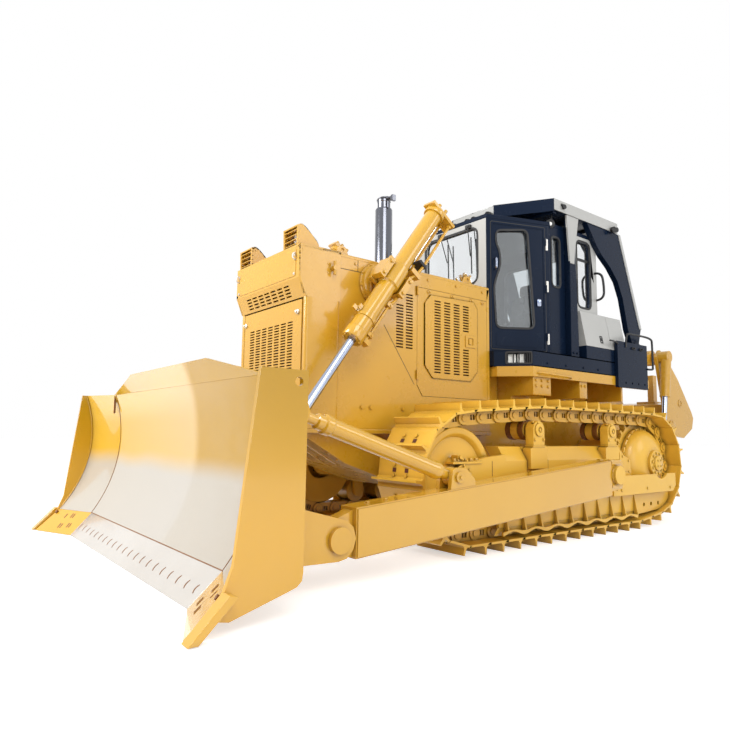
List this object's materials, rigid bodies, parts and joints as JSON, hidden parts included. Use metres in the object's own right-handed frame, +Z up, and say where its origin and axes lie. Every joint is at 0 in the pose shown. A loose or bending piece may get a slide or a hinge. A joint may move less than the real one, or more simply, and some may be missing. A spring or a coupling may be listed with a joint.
{
  "type": "bulldozer",
  "caption": "Track-type bulldozer with a semi-U blade on outside push arms, a hexagonal cab under a roll-over canopy and a single-shank rear ripper.",
  "frame": {"origin": "centre of the overall footprint, on the ground the tracks stand on", "axes": "+X forward towards the blade, +Y to the machine's left side, +Z up"},
  "size_m": [8.6669, 4.142, 3.7],
  "materials": {
    "paint_yellow": "gloss golden yellow machine paint",
    "paint_dark": "satin dark blue-grey paint",
    "paint_grey": "satin mid-grey paint",
    "track_paint": "painted steel, worn on the running faces",
    "bare_steel": "bare steel worn bright",
    "chrome_rod": "hard chrome rod",
    "exhaust_steel": "grey heat-stained steel",
    "cab_glass": "clear safety glass",
    "core_dark": "dark radiator core",
    "engine_paint": "painted casting",
    "seat_cloth": "dark seat cloth",
    "console_plastic": "dark moulded plastic",
    "lamp_housing": "painted lamp box"
  },
  "bodies": {
    "chassis": {"hull": "paint_yellow", "side_panels": "paint_yellow", "hood": "paint_yellow", "radiator_guard": "paint_yellow", "grille": "paint_yellow", "lift_brackets": "paint_yellow", "cross_members": "paint_yellow", "track_frames": "paint_yellow", "final_drives": "paint_yellow", "fenders": "paint_yellow", "ripper_bracket": "paint_yellow", "idlers": "paint_yellow", "track_left": "track_paint", "track_right": "track_paint", "track_rollers": "track_paint", "carrier_rollers": "track_paint", "sprockets": "track_paint", "exhaust": "exhaust_steel", "cab_glass": "cab_glass", "radiator_core": "core_dark", "engine_block": "engine_paint", "seat": "seat_cloth", "consoles": "console_plastic", "lamp_boxes": "lamp_housing", "cab_base": "paint_dark", "cab_front": "paint_dark", "cab_rear": "paint_dark", "cab_sides": "paint_dark", "doorways": "paint_dark", "cab_roof": "paint_dark", "side_boxes": "paint_dark", "step_plates": "paint_dark", "fuel_tank": "paint_dark", "canopy": "paint_grey", "canopy_posts": "paint_grey", "rear_covers": "paint_grey"},
    "blade_frame": {"push_arms": "paint_yellow", "blade": "paint_yellow", "cutting_edge": "bare_steel", "end_plates": "paint_yellow", "brace_left": "paint_yellow", "tilt_cylinder_right": "paint_yellow"},
    "lift_barrel_left": {"lift_barrel_left": "paint_yellow"},
    "lift_barrel_right": {"lift_barrel_right": "paint_yellow"},
    "lift_rod_left": {"lift_rod_left": "chrome_rod"},
    "lift_rod_right": {"lift_rod_right": "chrome_rod"},
    "cab_door_left": {"cab_door_left": "paint_dark", "door_glass_left": "cab_glass"},
    "cab_door_right": {"cab_door_right": "paint_dark", "door_glass_right": "cab_glass"},
    "engine_door_left": {"engine_door_left": "paint_yellow"},
    "engine_door_right": {"engine_door_right": "paint_yellow"},
    "side_lid_left": {"side_lid_left": "paint_grey"},
    "side_lid_right": {"side_lid_right": "paint_grey"},
    "ripper_arm": {"ripper_arm": "paint_yellow"},
    "ripper_links": {"ripper_links": "paint_yellow"},
    "ripper_carrier": {"ripper_carrier": "paint_yellow", "ripper_shank": "bare_steel"},
    "ripper_barrels": {"ripper_barrels": "paint_yellow"},
    "ripper_rods": {"ripper_rods": "chrome_rod"}
  },
  "joints": [
    {"name": "blade_lift", "type": "hinge", "parent": "chassis", "child": "blade_frame", "pos_m": [-0.186, 0, 0.63], "axis": [0, -1, 0], "range_deg": [-7, 20]},
    {"name": "lift_barrel_left_swing", "type": "hinge", "parent": "chassis", "child": "lift_barrel_left", "pos_m": [1.966, 0.81, 2.52], "axis": [0, -1, 0], "range_deg": [-7.85, 21.5]},
    {"name": "lift_rod_left_slide", "type": "slide", "parent": "lift_barrel_left", "child": "lift_rod_left", "axis": [0.5914, 0, -0.8064], "range_m": [-0.9929, 0.3507]},
    {"name": "lift_barrel_right_swing", "type": "hinge", "parent": "chassis", "child": "lift_barrel_right", "pos_m": [1.966, -0.81, 2.52], "axis": [0, -1, 0], "range_deg": [-7.85, 21.5]},
    {"name": "lift_rod_right_slide", "type": "slide", "parent": "lift_barrel_right", "child": "lift_rod_right", "axis": [0.5914, 0, -0.8064], "range_m": [-0.9929, 0.3507]},
    {"name": "cab_door_left_swing", "type": "hinge", "parent": "chassis", "child": "cab_door_left", "pos_m": [-0.20535, 0.81634, 2.65], "axis": [0, 0, 1], "range_deg": [0, 110]},
    {"name": "engine_door_left_swing", "type": "hinge", "parent": "chassis", "child": "engine_door_left", "pos_m": [1.549, 0.5923, 1.94], "axis": [0, 0, -1], "range_deg": [0, 100]},
    {"name": "side_lid_left_swing", "type": "hinge", "parent": "chassis", "child": "side_lid_left", "pos_m": [-1.042, 0.832, 2.47], "axis": [1, 0, 0], "range_deg": [0, 70]},
    {"name": "cab_door_right_swing", "type": "hinge", "parent": "chassis", "child": "cab_door_right", "pos_m": [-0.20535, -0.81634, 2.65], "axis": [0, 0, -1], "range_deg": [0, 110]},
    {"name": "engine_door_right_swing", "type": "hinge", "parent": "chassis", "child": "engine_door_right", "pos_m": [1.549, -0.5923, 1.94], "axis": [0, 0, 1], "range_deg": [0, 100]},
    {"name": "side_lid_right_swing", "type": "hinge", "parent": "chassis", "child": "side_lid_right", "pos_m": [-1.042, -0.832, 2.47], "axis": [-1, 0, 0], "range_deg": [0, 70]},
    {"name": "ripper_lift", "type": "hinge", "parent": "chassis", "child": "ripper_arm", "pos_m": [-2.5, 0, 0.86], "axis": [0, 1, 0], "range_deg": [-50, 0]},
    {"name": "ripper_link_swing", "type": "hinge", "parent": "chassis", "child": "ripper_links", "pos_m": [-2.23, 0, 1.88], "axis": [0, 1, 0], "range_deg": [-50.5, 0.5]},
    {"name": "ripper_carrier_swing", "type": "hinge", "parent": "ripper_arm", "child": "ripper_carrier", "pos_m": [-3.6, 0, 1.15], "axis": [0, 1, 0], "range_deg": [-0.5, 50.5]},
    {"name": "ripper_barrel_swing", "type": "hinge", "parent": "ripper_carrier", "child": "ripper_barrels", "pos_m": [-3.33, 0, 2.17], "axis": [0, 1, 0], "range_deg": [-0.5, 5]},
    {"name": "ripper_rod_slide", "type": "slide", "parent": "ripper_barrels", "child": "ripper_rods", "axis": [0.1409, 0, -0.99], "range_m": [-0.3453, 0.005]}
  ],
  "couplings": [
    {"joint": "lift_barrel_left_swing", "follows": "blade_lift", "ratio": 1.05},
    {"joint": "lift_rod_left_slide", "follows": "blade_lift", "m_per_rad": -2.83},
    {"joint": "lift_barrel_right_swing", "follows": "blade_lift", "ratio": 1.05},
    {"joint": "lift_rod_right_slide", "follows": "blade_lift", "m_per_rad": -2.83},
    {"joint": "ripper_link_swing", "follows": "ripper_lift", "ratio": 1},
    {"joint": "ripper_carrier_swing", "follows": "ripper_lift", "ratio": -1},
    {"joint": "ripper_barrel_swing", "follows": "ripper_lift", "ratio": -0.09},
    {"joint": "ripper_rod_slide", "follows": "ripper_lift", "m_per_rad": 0.39}
  ]
}
